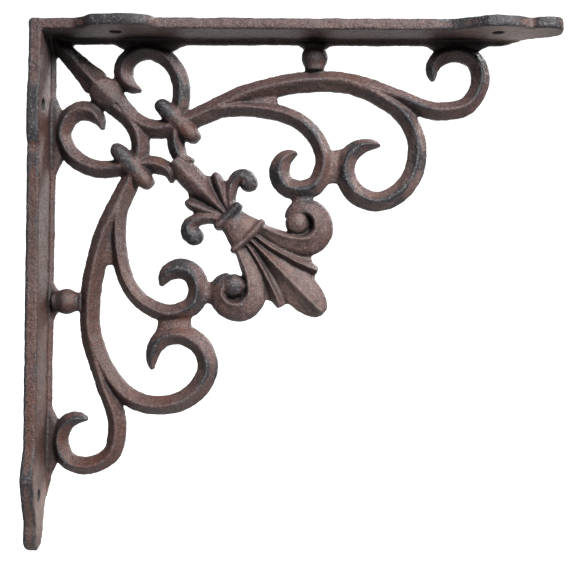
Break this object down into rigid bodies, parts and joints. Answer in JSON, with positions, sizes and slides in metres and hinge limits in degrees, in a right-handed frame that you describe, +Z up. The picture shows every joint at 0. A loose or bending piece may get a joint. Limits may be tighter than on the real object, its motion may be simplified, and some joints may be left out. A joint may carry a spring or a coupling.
{
  "type": "shelf bracket",
  "caption": "Ornate cast iron right-angle shelf bracket with scrollwork, a plume on the diagonal and screw holes in both arms.",
  "frame": {"origin": "centre of the wall arm's flat back face, which lies on the wall", "axes": "+X out from the wall along the shelf arm, +Z up, -Y towards the decorated front, +Y to the plain flat back"},
  "size_m": [0.247, 0.0343, 0.248],
  "materials": {
    "cast_iron": "sand-cast iron with worn brown rust paint"
  },
  "bodies": {
    "root": {"bracket_casting": "cast_iron"}
  },
  "joints": []
}
